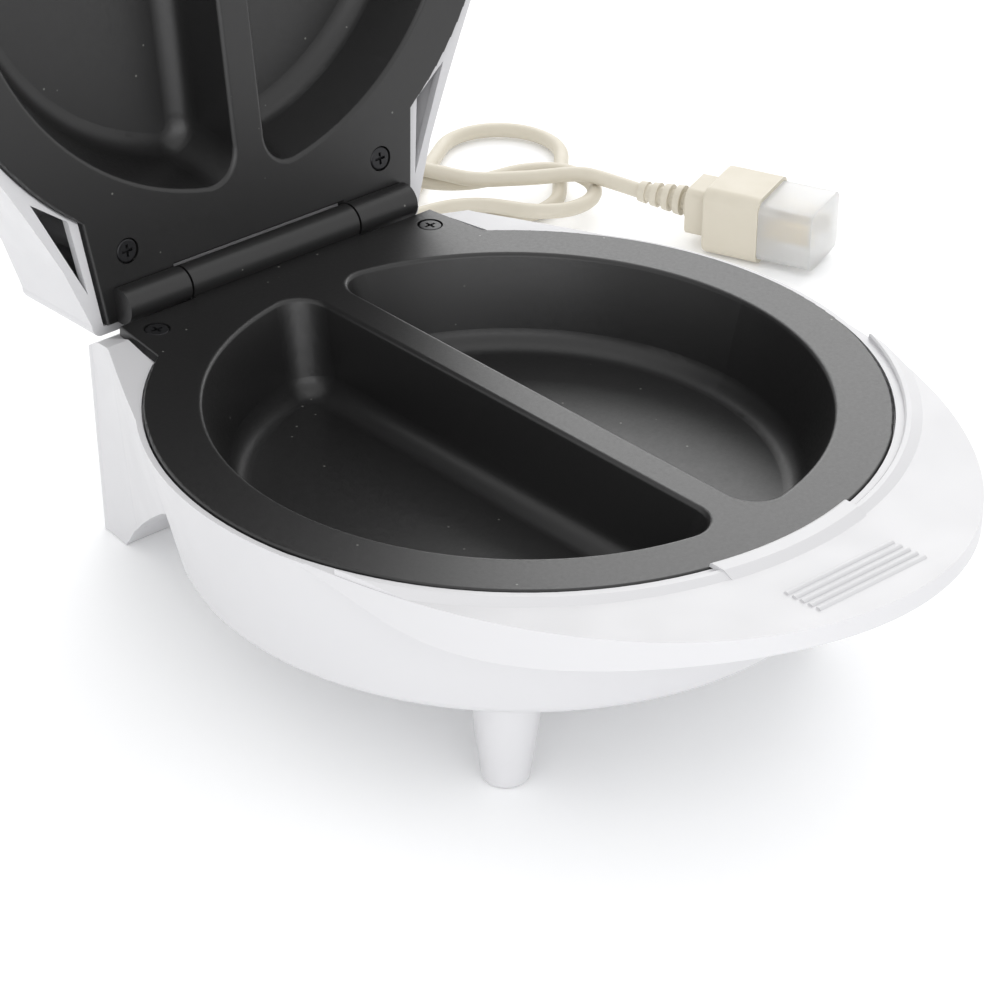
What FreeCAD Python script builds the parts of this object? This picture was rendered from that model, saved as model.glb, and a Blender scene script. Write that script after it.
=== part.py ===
import FreeCAD, Part
import math
import os
from FreeCAD import Vector

# A two-well omelette maker: a shallow base on legs, a lid on a rear hinge, a cast plate with two
# half-moon wells in each, the heating parts behind the plates, and a mains lead folded in a hank.
# Everything is built about the lower plate's centre with its top face at height 0 and the lid
# closed; place_base() and place_lid() move the pieces into the stored frame, lid open.

# ---- driving dimensions, mm -----------------------------------------------------------------
PLATE_R = 100.0            # cast plate, outer radius
PLATE_T = 3.0              # flange thickness
PLATE_HEIGHT = 70.0        # lower plate's top face above the table
PLATE_Y = -17.97           # plate centre in the stored frame, which is centred on its box
PLATE_GAP = 4.4            # between the two plates' faces when the lid is closed
PLATE_EDGE = 0.6           # rounding of the plate's top edge
EAR_X = 57.0               # half width of the hinge ear at EAR_LINE
EAR_LINE = 98.0
EAR_TAPER = 0.125          # the ear narrows by this much per mm towards the rear
EAR_REAR = 101.0           # rear edge of the lower plate's ears
UPPER_EAR_REAR = 111.6     # the lid plate's ears carry the outer knuckles
WALL = 2.5                 # moulded plastic wall
CAST = 2.6                 # cast wall of the wells

WELL_R = 84.5              # well arc at the face
WELL_FLOOR_R = 77.0        # well arc at the floor
WELL_WALL_X = 5.4          # divider's half width at the face
WELL_FLOOR_X = 8.0         # divider's half width at the floor
WELL_CORNER = 9.0          # plan radius where the arc meets the divider
WELL_FLOOR_FILLET = 7.0
LOWER_DEPTH = 26.0
UPPER_DEPTH = 20.0

HINGE_Y = 106.4
HINGE_Z = 2.3
KNUCKLE_R = 5.25
PIN_R = 2.0
PIN_FIT = 0.05             # radial clearance of the pin in the turning knuckles
CENTRE_HALF = 30.2         # half length of the base's knuckle
OUTER_START = 30.9
OUTER_END = 52.2
BORE_END = 1.6             # thickness left at the blind end of the pin's bore
LID_OPEN = 98.3            # degrees from closed to the open stop
RECESS_R = 11.0            # trough round the hinge in the base
RECESS_X = 57.9            # half length of the trough

BOWL_TOP_R = 101.6
BOWL_FLOOR_R = 91.5
BOWL_FLOOR_Z = -42.5
RIM_Z = -3.0               # ledge that the plate rests on
BASE_TOP_Z = -1.0          # rim and shoulder round the plate
REAR_Y = 114.4
SHOULDER_R = 103.2         # the lid's rim
TONGUE_A = 100.0           # handle outline is an ellipse about the plate's centre
TONGUE_B = 140.0
LID_TONGUE_B = 117.0
LIP_R = 102.8
LIP_END_Y = -38.0

LID_RIM_Z = 6.2
LID_WALL_Z = 43.0
LID_TOP_Z = 49.0
LID_REAR_Y = 114.4

FOOT_X, FOOT_Y = 54.0, -56.0
SCREW_X, SCREW_Y = 49.8, 93.0
UPPER_SCREW_X, UPPER_SCREW_Y = 45.9, 92.3
SCREW_R = 1.6
SCREW_HEAD_R = 3.4

ELEMENT_R = 3.2
STAT_XY = (26.0, 4.0)      # thermostat under the right-hand well
FUSE_X = -28.0             # thermal fuse under the left-hand well
SHIELD_Z = 38.0            # the lid's heat shield, lid closed
SHIELD_T = 0.6
SHIELD_POSTS = ((0.0, -74.0), (62.0, 40.0), (-62.0, 40.0))
CLAMP_POSTS = ((0.0, -22.0), (0.0, 30.0))
LENS_X, LENS_Y, LENS_R = 9.0, -52.0, 4.0
LENS_Z = 43.9
LAMP_Z = 41.2

# ---- mains lead: X and Y from the plate's centre, Z from the table, mm --------------------------
CORD_D = 5.0
CORD_REST = 2.8            # height of the cord's middle where it lies on the table
GLAND_X, GLAND_Z = 30.0, -31.5
GLAND_LENGTH = 28.0
GLAND_NECK_R = 4.4
HANK_X, HANK_Y, HANK_TURN = 150.0, 201.5, -34.0
HANK_LENGTH, HANK_WIDTH = 107.0, 38.0
HANK_Z0, HANK_Z1 = 0.2, 13.2
TIE_ALONG = -22.0          # the tie, from the hank's middle
TIE_WIDTH = 8.0
LEAD_POINTS = [(GLAND_X, REAR_Y + GLAND_LENGTH, PLATE_HEIGHT + GLAND_Z), (30.0, 159.5, 38.5),
               (35.0, 184.5, 28.5), (47.0, 208.5, 14.0), (64.0, 228.5, 4.2), (86.0, 236.5, 3.2)]
LOOP_ROUTE = [(-11.5, 18.0), (-5.0, 34.0), (2.0, 50.0), (9.0, 57.5), (18.5, 61.0), (28.5, 59.5),
              (37.0, 53.5), (42.0, 45.0), (44.0, 35.0), (42.5, 25.0), (39.0, 16.5)]
TAIL_FROM = (52.8, -3.6, 10.4)     # along and across the hank
PLUG_START = (197.0, 156.0, 11.7)
PLUG_TURN = -68.0
RELIEF_END, NECK_END, HEAD_END, CAP_END = 20.0, 28.0, 46.5, 65.0


# ---- small helpers ----------------------------------------------------------------------------
def vec(x, y, z=0.0):
    return Vector(x, y, z)


def polygon_face(points):
    return Part.Face(Part.makePolygon([vec(*p) for p in points] + [vec(*points[0])]))


def prism(points, z0, z1):
    """A plan polygon raised from z0 to z1."""
    return polygon_face([(x, y, z0) for x, y in points]).extrude(vec(0, 0, z1 - z0))


def side_prism(points, x0, x1):
    """A polygon in the Y-Z plane carried from x0 to x1."""
    return polygon_face([(x0, y, z) for y, z in points]).extrude(vec(x1 - x0, 0, 0))


def turned(points):
    """A profile of (radius, z) points turned about the plate's axis."""
    return polygon_face([(r, 0, z) for r, z in points]).revolve(vec(0, 0, 0), vec(0, 0, 1), 360)


def box(x0, x1, y0, y1, z0, z1):
    return Part.makeBox(x1 - x0, y1 - y0, z1 - z0, vec(x0, y0, z0))


def rod_z(x, y, r, z0, z1):
    return Part.makeCylinder(r, z1 - z0, vec(x, y, z0))


def rod_x(y, z, r, x0, x1):
    return Part.makeCylinder(r, x1 - x0, vec(x0, y, z), vec(1, 0, 0))


def fused(shapes):
    return shapes[0].multiFuse(shapes[1:]).removeSplitter()


def group(shapes):
    return Part.makeCompound(shapes)


def mirrored_x(shape):
    return shape.mirror(vec(0, 0, 0), vec(1, 0, 0))


def ellipse_prism(a, b, z0, z1):
    """The ellipse with half axes a across and b front to back."""
    curve = Part.Ellipse(vec(0, b, z0), vec(a, 0, z0), vec(0, 0, z0))
    return Part.Face(Part.Wire(curve.toShape())).extrude(vec(0, 0, z1 - z0))


def round_edges(shape, radius, wanted):
    return shape.makeFillet(radius, [e for e in shape.Edges if wanted(e)])


def at_height(z, tolerance=0.01):
    return lambda e: all(abs(v.Z - z) < tolerance for v in e.Vertexes) and \
        abs(e.CenterOfMass.z - z) < tolerance


def bent_tube(points, radii, tube_r):
    """A tube along straight runs joined by tangent arcs of the given radii."""
    pts = [vec(*p) for p in points]
    edges = []
    start = pts[0]
    for i in range(1, len(pts) - 1):
        before = (pts[i] - pts[i - 1]).normalize()
        after = (pts[i + 1] - pts[i]).normalize()
        turn = before.getAngle(after)
        reach = radii[i - 1] * math.tan(turn / 2)
        enter = pts[i] - before * reach
        leave = pts[i] + after * reach
        inward = (after - before).normalize()
        centre = pts[i] + inward * (radii[i - 1] / math.cos(turn / 2))
        middle = centre - inward * radii[i - 1]
        edges.append(Part.LineSegment(start, enter).toShape())
        edges.append(Part.Arc(enter, middle, leave).toShape())
        start = leave
    edges.append(Part.LineSegment(start, pts[-1]).toShape())
    path = Part.Wire(edges)
    ring = Part.Wire(Part.Circle(pts[0], pts[1] - pts[0], tube_r).toShape())
    tube = path.makePipeShell([ring], True, False)
    return tube, path.Length


def corner_radii(points, share=0.45):
    """Each corner's arc is as large as its two runs allow."""
    pts = [vec(*p) for p in points]
    radii = []
    for i in range(1, len(pts) - 1):
        before, after = pts[i] - pts[i - 1], pts[i + 1] - pts[i]
        shorter = min(before.Length, after.Length)
        radii.append(share * shorter / math.tan(before.getAngle(after) / 2))
    return radii


# ---- placing and writing ----------------------------------------------------------------------
def place_base(shape):
    moved = shape.copy()
    moved.translate(vec(0, PLATE_Y, PLATE_HEIGHT))
    return moved


def place_lid(shape):
    moved = shape.copy()
    moved.rotate(vec(0, HINGE_Y, HINGE_Z), vec(1, 0, 0), -LID_OPEN)
    return place_base(moved)


def place_cord(shape):
    """The lead's pieces are built with their heights already above the table."""
    moved = shape.copy()
    moved.translate(vec(0, PLATE_Y, 0))
    return moved


def face_down(shape):
    """Turns a piece built for the base over, for the lid's plate level."""
    moved = shape.copy()
    moved.rotate(vec(0, 0, 0), vec(0, 1, 0), 180)
    moved.translate(vec(0, 0, PLATE_GAP))
    return moved


written = {}


def write(name, shape):
    solids = shape.Solids
    if not solids or not all(s.isValid() and s.isClosed() for s in solids):
        print("BAD", name, len(solids))
    written[name] = shape
    shape.exportStep("parts/" + name + ".step")


# ---- cast plates ------------------------------------------------------------------------------
def well(depth, grow):
    """One half-moon well as a solid, on the +X side; grow makes the cast wall's outside."""
    bottom = -depth - grow
    cone = Part.makeCone(WELL_FLOOR_R + grow, WELL_R + grow, depth + grow, vec(0, 0, bottom))
    wall_top, wall_floor = WELL_WALL_X - grow, WELL_FLOOR_X - grow
    keep = polygon_face([(wall_top, -120, 0), (120, -120, 0), (120, -120, bottom),
                         (wall_floor, -120, bottom)]).extrude(vec(0, 240, 0))
    body = cone.common(keep)
    upright = [e for e in body.Edges
               if abs(e.Vertexes[0].Z - e.Vertexes[-1].Z) > 0.5 * depth and e.CenterOfMass.x < 20]
    body = body.makeFillet(WELL_CORNER + grow, upright)
    return round_edges(body, WELL_FLOOR_FILLET + grow / 2, at_height(bottom))


def plate_outline(z0, z1, rear, r=PLATE_R, ear=EAR_X, taper=EAR_TAPER):
    """A disc with the tapered ear behind it; ear is the half width at EAR_LINE."""
    front = 60.0
    wide, narrow = ear + (EAR_LINE - front) * taper, ear + (EAR_LINE - rear) * taper
    ears = prism([(-wide, front), (wide, front), (narrow, rear), (-narrow, rear)], z0, z1)
    return fused([rod_z(0, 0, r, z0, z1), ears])


def cast_plate(depth, screw_x, screw_y, rear, notch=None):
    flange = plate_outline(-PLATE_T, 0, rear)
    if notch:
        flange = flange.cut(notch)
    flange = flange.makeFillet(PLATE_EDGE, [e for e in flange.Edges if at_height(0)(e)])
    cups = [well(depth, CAST), mirrored_x(well(depth, CAST))]
    plate = fused([flange] + cups)
    for pocket in (well(depth, 0), mirrored_x(well(depth, 0))):
        plate = plate.cut(pocket)
    lips = [e for e in plate.Edges if at_height(0)(e) and e.BoundBox.XMax < WELL_R + 1
            and e.BoundBox.XMin > -WELL_R - 1 and e.BoundBox.YMax < WELL_R + 1
            and math.hypot(e.CenterOfMass.x, e.CenterOfMass.y) < WELL_R]
    plate = plate.makeFillet(1.4, lips)
    for x in (-screw_x, screw_x):
        plate = plate.cut(rod_z(x, screw_y, SCREW_R + 0.4, -PLATE_T - 1, 1))
        plate = plate.cut(rod_z(x, screw_y, SCREW_HEAD_R + 0.35, -1.7, 1))
    return plate


def lower_plate():
    plate = cast_plate(LOWER_DEPTH, SCREW_X, SCREW_Y, EAR_REAR)
    knuckle = rod_x(HINGE_Y, HINGE_Z, KNUCKLE_R, -CENTRE_HALF, CENTRE_HALF)
    arm = box(-CENTRE_HALF, CENTRE_HALF, EAR_REAR - 4, HINGE_Y, -PLATE_T + 0.05, 0)
    plate = fused([plate, arm, knuckle])
    return plate.cut(rod_x(HINGE_Y, HINGE_Z, PIN_R, -EAR_X, EAR_X))


def upper_plate():
    """Its ears run on behind the outer knuckles, with a notch for the base's knuckle."""
    notch = box(-OUTER_START, OUTER_START, EAR_REAR, UPPER_EAR_REAR + 1, -PLATE_T - 1, 1)
    plate = face_down(cast_plate(UPPER_DEPTH, UPPER_SCREW_X, UPPER_SCREW_Y, UPPER_EAR_REAR, notch))
    pieces = [plate]
    for side in (-1, 1):
        start, end = sorted((side * OUTER_START, side * OUTER_END))
        pieces.append(rod_x(HINGE_Y, HINGE_Z, KNUCKLE_R, start, end))
    bore = rod_x(HINGE_Y, HINGE_Z, PIN_R + PIN_FIT, -OUTER_END + BORE_END, OUTER_END + 1)
    return fused(pieces).cut(bore)


def hinge_pin():
    """Pushed in from the right; the left knuckle is blind."""
    return rod_x(HINGE_Y, HINGE_Z, PIN_R, -OUTER_END + BORE_END + 0.3, OUTER_END - 0.4)


def countersunk_screw(x, y, top, length):
    shank = rod_z(x, y, SCREW_R, top - length, top - 0.5)
    head = rod_z(x, y, SCREW_HEAD_R, top - 1.5, top)
    head = round_edges(head, 0.5, at_height(top))
    screw = fused([shank, head])
    for length_x, length_y in ((3.6, 0.8), (0.8, 3.6)):
        screw = screw.cut(box(x - length_x / 2, x + length_x / 2, y - length_y / 2,
                              y + length_y / 2, top - 1.0, top + 1))
    return screw


def plate_screws(x, y):
    return [countersunk_screw(side * x, y, -0.15, 16.0) for side in (-1, 1)]


# ---- base shell -------------------------------------------------------------------------------
def shoulder_face(z, circle_r, arc_y, flank, rear_half, front_y, rear_y):
    """Plan of the shoulder round the hinge: a round front part, then flanks to the rear wall."""
    (mid_x, mid_y), (end_x, end_y), corner_y = flank
    start = vec(math.sqrt(circle_r ** 2 - front_y ** 2), front_y, z)
    meet = vec(math.sqrt(circle_r ** 2 - arc_y ** 2), arc_y, z)
    half = math.atan2(front_y + arc_y, start.x + meet.x)
    between = vec(circle_r * math.cos(half), circle_r * math.sin(half), z)
    knee = vec(end_x, end_y, z)
    corner = vec(rear_half + 1.6, corner_y, z)
    rear = vec(rear_half - 1.5, rear_y, z)
    bulge = vec(rear_half + 1.0, rear_y - 1.0, z)
    right = [Part.Arc(start, between, meet), Part.Arc(meet, vec(mid_x, mid_y, z), knee),
             Part.LineSegment(knee, corner), Part.Arc(corner, bulge, rear)]
    edges = [c.toShape() for c in right]
    edges += [mirrored_x(c.toShape()) for c in right]
    edges.append(Part.LineSegment(rear, vec(-rear.x, rear.y, z)).toShape())
    edges.append(Part.LineSegment(start, vec(-start.x, start.y, z)).toShape())
    return Part.Wire(Part.__sortEdges__(edges))


def shoulder_block(z_rim, z_far, inset, far_scale, rear_rim, rear_far, round_r=SHOULDER_R,
                   round_draw=17.2):
    """The shoulder from its rim to its far level, drawn in by the mould's draft."""
    rim = shoulder_face(z_rim, round_r - inset, 56.6,
                        ((75.9 - inset, 75.0), (66.6 - inset, 92.7), rear_rim - 3.5),
                        58.0 - inset, 20, rear_rim - inset)
    draw = (1 - far_scale)
    far = shoulder_face(z_far, round_r - inset - round_draw * draw, 56.6 - 10.6 * draw,
                        ((75.9 - inset - 10.9 * draw, 75.0 - 3 * draw),
                         (66.6 - inset - 8.3 * draw, 92.7), rear_far - 3.5),
                        58.0 - inset - 3.5 * draw, 20 - 4 * draw, rear_far - inset)
    return Part.makeLoft([rim, far], True, True)


def smooth_edge(points, x):
    curve = Part.BSplineCurve()
    curve.interpolate([vec(x, y, z) for y, z in points])
    return curve.toShape()


def tongue(b, top, bottom):
    """The handle: the front of an ellipse between two smooth long profiles in the Y-Z plane."""
    outline = ellipse_prism(TONGUE_A, b, -20, 30)
    x = -TONGUE_A - 1
    ends = [Part.LineSegment(vec(x, *top[k]), vec(x, *bottom[k])).toShape() for k in (0, -1)]
    edges = [smooth_edge(top, x), smooth_edge(bottom, x)] + ends
    side = Part.Face(Part.Wire(Part.__sortEdges__(edges)))
    return outline.common(side.extrude(vec(2 * TONGUE_A + 2, 0, 0)))


def shoulder_slope(depth):
    """What is cut away over the hinge: the shoulder's top falls towards the rear."""
    profile = [(94.5, BASE_TOP_Z), (104.6, -4.9), (110.9, -8.9), (118, -13)]
    return side_prism([(y, z - depth) for y, z in profile] + [(118, 12), (94.5, 12)], -90, 90)


def ring_sector(profile, half_angle_x, y_end):
    """Part of a turned profile: only in front of y_end and within half_angle_x either side."""
    ring = turned(profile)
    return ring.common(box(-half_angle_x, half_angle_x, -200, y_end, -50, 50))


def base_shoulder(inset):
    """The base's shoulder; its round part follows the bowl's cone, just inside it."""
    slope = (BOWL_TOP_R - BOWL_FLOOR_R) / (RIM_Z - BOWL_FLOOR_Z)
    top_r = BOWL_TOP_R + slope * (BASE_TOP_Z - RIM_Z) - 0.03
    top = BASE_TOP_Z - inset
    return shoulder_block(top, -PLATE_HEIGHT, inset, 0, REAR_Y, REAR_Y, top_r,
                          slope * (top + PLATE_HEIGHT))


def lower_housing():
    slope = (BOWL_TOP_R - BOWL_FLOOR_R) / (RIM_Z - BOWL_FLOOR_Z)
    top_r = BOWL_TOP_R + slope * (BASE_TOP_Z - RIM_Z)
    bowl = turned([(0, BOWL_FLOOR_Z), (BOWL_FLOOR_R, BOWL_FLOOR_Z), (top_r, BASE_TOP_Z), (0, BASE_TOP_Z)])
    bowl = round_edges(bowl, 4.0, at_height(BOWL_FLOOR_Z))
    arch = side_prism([(0, -71), (102, -71), (94.3, -61.6), (84.6, -53.2), (73.8, -44.7), (59.9, -34.5),
                       (40, -22), (0, -22)], -120, 120)
    block = base_shoulder(0).cut(arch)
    block = block.cut(box(-36, 36, 0, REAR_Y + 5, -PLATE_HEIGHT - 1, BOWL_FLOOR_Z))
    feet = []
    for side in (-1, 1):
        foot = Part.makeCone(6.3, 10.2, PLATE_HEIGHT + BOWL_FLOOR_Z + 2,
                             vec(side * FOOT_X, FOOT_Y, -PLATE_HEIGHT))
        feet.append(round_edges(foot, 1.5, at_height(-PLATE_HEIGHT)))
    handle = tongue(TONGUE_B, [(-22, -1.0), (-60, -0.4), (-100, -0.1), (-125, 0.6), (-142, 2.0)],
                    [(-22, -2.0), (-42, -5.5), (-60, -10.5), (-80, -11.8), (-110, -8.2), (-142, -3.4)])
    outer = fused([bowl, block, handle] + feet)

    inner_floor = BOWL_FLOOR_Z + WALL
    inner_low = BOWL_FLOOR_R + slope * WALL - 2 * WALL
    void = turned([(0, inner_floor), (inner_low - 2, inner_floor), (inner_low, inner_floor + 2),
                   (inner_low + slope * 28, inner_floor + 30), (97.4, -7), (96.0, -5.5),
                   (96.0, 1), (0, 1)])
    rear_void = base_shoulder(WALL)
    rear_void = rear_void.cut(box(-120, 120, 0, 200, -90, inner_floor))
    rear_void = rear_void.cut(box(-120, 120, -50, 74, -60, -6))
    rear_void = rear_void.cut(rod_x(HINGE_Y, HINGE_Z, RECESS_R + WALL, -90, 90))
    rear_void = rear_void.cut(shoulder_slope(WALL))
    shell = outer.cut(fused([void, rear_void]))

    seat = plate_outline(RIM_Z, 5, REAR_Y, PLATE_R + 0.5, EAR_X + 0.9, 0.2)
    shell = shell.cut(seat)
    shell = shell.cut(rod_x(HINGE_Y, HINGE_Z, RECESS_R, -RECESS_X, RECESS_X))
    shell = shell.cut(box(-RECESS_X, RECESS_X, HINGE_Y, REAR_Y + 5, -7.4, 20))
    shell = shell.cut(shoulder_slope(0))

    lip = ring_sector([(LIP_R - 1.6, -5), (LIP_R - 1.6, BASE_TOP_Z), (LIP_R, BASE_TOP_Z), (LIP_R, 0.6),
                       (LIP_R + 0.5, 1.0), (LIP_R + 1.8, 1.0), (LIP_R + 5.5, -0.6), (LIP_R + 5.5, -5)],
                      120, LIP_END_Y)
    lip = lip.common(ellipse_prism(TONGUE_A - 0.3, TONGUE_B, -20, 12))
    tab = ring_sector([(PLATE_R - 0.4, 0.15), (PLATE_R - 0.1, 1.2), (PLATE_R + 0.5, 1.5),
                       (LIP_R + 1.8, 1.5), (LIP_R + 5.5, -0.4), (LIP_R + 0.5, -0.4), (LIP_R, -5),
                       (PLATE_R + 0.8, -5), (PLATE_R + 0.8, 0.15)], 24, 0)
    grips = []
    for i in range(5):
        y = -118.5 - 2.7 * i
        ridge = Part.makeCylinder(1.0, 38, vec(-19, y, 0.0), vec(1, 0, 0))
        ridge.translate(vec(0, 0, -0.25 + 0.055 * (abs(y) - 116)))
        grips.append(ridge)
    bosses = [rod_z(side * SCREW_X, SCREW_Y, 5.0, inner_floor - 0.5, RIM_Z) for side in (-1, 1)]
    shell = fused([shell, lip, tab] + grips + bosses)
    for side in (-1, 1):
        shell = shell.cut(rod_z(side * SCREW_X, SCREW_Y, SCREW_R, RIM_Z - 16, RIM_Z + 1))
        shell = shell.cut(rod_z(side * FOOT_X, FOOT_Y, SCREW_R, inner_floor - 10, inner_floor + 1))
    return shell.cut(Part.makeCylinder(GLAND_NECK_R + 0.02, 20, vec(GLAND_X, REAR_Y - 15, GLAND_Z),
                                       vec(0, 1, 0)))


# ---- lid shell --------------------------------------------------------------------------------
def dome_solid(rim_r, rim_z, shrink):
    """The lid's round body: a drafted wall, a rounded shoulder and a shallow dome."""
    wall_top = vec(95.2 - shrink, 0, 37.5 - 0.4 * shrink)
    shoulder = vec(93.3 - shrink, 0, 41.9 - 0.8 * shrink)
    crown_edge = vec(88.6 - shrink, 0, LID_WALL_Z + 1.1 - shrink)
    crown = Part.BSplineCurve()
    crown.interpolate([crown_edge, vec(70, 0, LID_TOP_Z - 2.6 - shrink),
                       vec(38, 0, LID_TOP_Z - 0.6 - shrink), vec(0, 0, LID_TOP_Z - shrink)])
    edges = [Part.LineSegment(vec(0, 0, rim_z), vec(rim_r, 0, rim_z)),
             Part.LineSegment(vec(rim_r, 0, rim_z), wall_top),
             Part.Arc(wall_top, shoulder, crown_edge),
             crown,
             Part.LineSegment(vec(0, 0, LID_TOP_Z - shrink), vec(0, 0, rim_z))]
    face = Part.Face(Part.Wire([e.toShape() for e in edges]))
    return face.revolve(vec(0, 0, 0), vec(0, 0, 1), 360)


def upper_housing():
    dome = dome_solid(SHOULDER_R, LID_RIM_Z, 0)
    block = shoulder_block(LID_RIM_Z, LID_WALL_Z, 0, 0.45, LID_REAR_Y, LID_REAR_Y - 3.2)
    block = round_edges(block, 2.0, lambda e: at_height(LID_WALL_Z)(e) and e.CenterOfMass.y > 30)
    handle = tongue(LID_TONGUE_B, [(-22, 12.0), (-60, 17.5), (-95, 16.5), (-119, 11.5)],
                    [(-22, LID_RIM_Z), (-60, LID_RIM_Z), (-100, LID_RIM_Z), (-119, LID_RIM_Z + 0.6)])
    outer = fused([dome, block, handle])

    void = dome_solid(SHOULDER_R - WALL - 0.4, LID_RIM_Z + 4.4, WALL)
    void = fused([void, rod_z(0, 0, 96.0, LID_RIM_Z - 1, LID_RIM_Z + 5)])
    rear_void = shoulder_block(LID_RIM_Z + WALL, LID_WALL_Z - WALL, WALL, 0.45,
                               LID_REAR_Y, LID_REAR_Y - 3.2)
    rear_void = rear_void.cut(box(-120, 120, -50, 60, 0, 60))
    seat_top = PLATE_GAP + PLATE_T
    seat = plate_outline(LID_RIM_Z - 5, seat_top, UPPER_EAR_REAR + 0.3, PLATE_R + 0.5, EAR_X + 0.7)
    hinge_room = rod_x(HINGE_Y, HINGE_Z, KNUCKLE_R + 0.9, -OUTER_END - 0.6, OUTER_END + 0.6)
    shell = outer.cut(fused([void, rear_void])).cut(seat).cut(hinge_room)

    windows = [prism([(side * x, y) for x, y in ((74.3, 70.8), (63.0, 79.0), (59.6, 101.5))],
                     LID_RIM_Z - 1, LID_RIM_Z + WALL + 1) for side in (-1, 1)]
    shell = shell.cut(fused(windows))
    pillars = [rod_z(side * UPPER_SCREW_X, UPPER_SCREW_Y, 4.6, seat_top, LID_WALL_Z - 1)
               for side in (-1, 1)]
    pillars += [rod_z(x, y, 3.2, SHIELD_Z + SHIELD_T, LID_WALL_Z + 1.5) for x, y in SHIELD_POSTS]
    shell = fused([shell] + pillars)
    for side in (-1, 1):
        shell = shell.cut(rod_z(side * UPPER_SCREW_X, UPPER_SCREW_Y, SCREW_R, 0, seat_top + 15))
        shell = shell.cut(rod_z(side * LENS_X, LENS_Y, LENS_R + 0.05, 40, 60))
    for x, y in SHIELD_POSTS:
        shell = shell.cut(rod_z(x, y, SCREW_R - 0.3, 0, SHIELD_Z + 5.4))
    return shell


def lamp_lens(x):
    """A domed button through the lid's top, with a flange inside it."""
    stem = rod_z(x, LENS_Y, LENS_R, LENS_Z + 0.9, LENS_Z + 5.2)
    stem = round_edges(stem, 1.6, at_height(LENS_Z + 5.2))
    return fused([stem, rod_z(x, LENS_Y, LENS_R + 1.1, LENS_Z, LENS_Z + 1.0)])


def neon_lamp(x):
    glass = Part.makeCylinder(1.7, 9, vec(x, LENS_Y - 4.5, LAMP_Z), vec(0, 1, 0))
    tip = Part.makeSphere(1.7, vec(x, LENS_Y - 4.5, LAMP_Z))
    leads = [Part.makeCylinder(0.4, 6, vec(x + dx, LENS_Y + 4.4, LAMP_Z), vec(0, 1, 0))
             for dx in (-0.8, 0.8)]
    return fused([glass, tip] + leads)


def lamp_holder():
    tray = box(-18, 18, LENS_Y - 7, LENS_Y + 5.5, SHIELD_Z + SHIELD_T, SHIELD_Z + SHIELD_T + 0.8)
    for x in (-LENS_X, LENS_X):
        for y in (LENS_Y - 3.5, LENS_Y + 1.5):
            clip = box(x - 2.4, x + 2.4, y, y + 1.4, SHIELD_Z + SHIELD_T + 0.4, LAMP_Z)
            tray = tray.fuse(clip)
        tray = tray.cut(Part.makeCylinder(1.72, 30, vec(x, LENS_Y - 15, LAMP_Z), vec(0, 1, 0)))
        tray = tray.cut(Part.makeSphere(1.75, vec(x, LENS_Y - 4.5, LAMP_Z)))
    return tray.removeSplitter()


# ---- heating parts, built face up about the plate ------------------------------------------------
def element(depth):
    z = -depth - CAST - ELEMENT_R - 0.05
    right = [(16, 84), (16, 54), (46, 34), (51, -20), (24, -54)]
    loop = [(x, y, z) for x, y in right] + [(-x, y, z) for x, y in right[::-1]]
    tube, _ = bent_tube(loop, corner_radii(loop), ELEMENT_R)
    return tube


def element_pins(depth):
    """Ceramic ends and the steel tabs that the wires push on to."""
    z = -depth - CAST - ELEMENT_R - 0.05
    pieces = []
    for x in (-16, 16):
        bead = Part.makeCylinder(ELEMENT_R - 0.4, 2.4, vec(x, 84.02, z), vec(0, 1, 0))
        pieces.append(bead.fuse(box(x - 2, x + 2, 86.3, 92, z - 0.4, z + 0.4)))
    return pieces


def element_clamp(depth):
    """A pressed steel bar under each run of the element, bolted to the plate's rib."""
    top = -depth - CAST - 2 * ELEMENT_R - 0.1
    pieces = []
    for _, y in CLAMP_POSTS:
        bar = box(-54, 54, y - 5, y + 5, top - 1.0, top)
        pieces.append(bar.cut(rod_z(0, y, 1.8, top - 2, top + 1)))
    return pieces


def rib_posts(depth):
    """Cast posts in the hollow rib, which carry the element clamp."""
    bottom = -depth - CAST - 2 * ELEMENT_R - 0.1
    return [rod_z(x, y, 2.5, bottom, -PLATE_T + 0.5).cut(rod_z(x, y, 1.2, bottom - 1, bottom + 9))
            for x, y in CLAMP_POSTS]


def pan_screw(x, y, z, length, head_r=2.8, shank_r=1.2):
    """Head below height z, shank going up from it."""
    head = rod_z(x, y, head_r, z - 1.3, z)
    head = round_edges(head, 0.5, at_height(z - 1.3))
    screw = fused([head, rod_z(x, y, shank_r, z - 0.2, z + length)])
    return screw.cut(box(x - 1.9, x + 1.9, y - 0.3, y + 0.3, z - 2, z - 0.7))


def clamp_screws(depth):
    z = -depth - CAST - 2 * ELEMENT_R - 1.1
    return [pan_screw(x, y, z, 8) for x, y in CLAMP_POSTS]


def lower_shield():
    z = BOWL_FLOOR_Z + WALL + 0.02
    disc = rod_z(0, 0, 84, z, z + SHIELD_T)
    for side in (-1, 1):
        disc = disc.cut(rod_z(side * FOOT_X, FOOT_Y, 1.9, z - 1, z + 2))
    return disc


def lower_shield_screws():
    z = BOWL_FLOOR_Z + WALL + SHIELD_T + 0.02
    screws = []
    for side in (-1, 1):
        screw = pan_screw(0, 0, 0, 9, shank_r=SCREW_R)
        screw.rotate(vec(0, 0, 0), vec(1, 0, 0), 180)
        screw.translate(vec(side * FOOT_X, FOOT_Y, z))
        screws.append(screw)
    return screws


def upper_shield():
    disc = rod_z(0, 0, 80, SHIELD_Z, SHIELD_Z + SHIELD_T)
    for x, y in SHIELD_POSTS:
        disc = disc.cut(rod_z(x, y, 1.6, 0, 60))
    return disc


def upper_shield_screws():
    return [pan_screw(x, y, SHIELD_Z, 5.2, shank_r=SCREW_R - 0.3) for x, y in SHIELD_POSTS]


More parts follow.
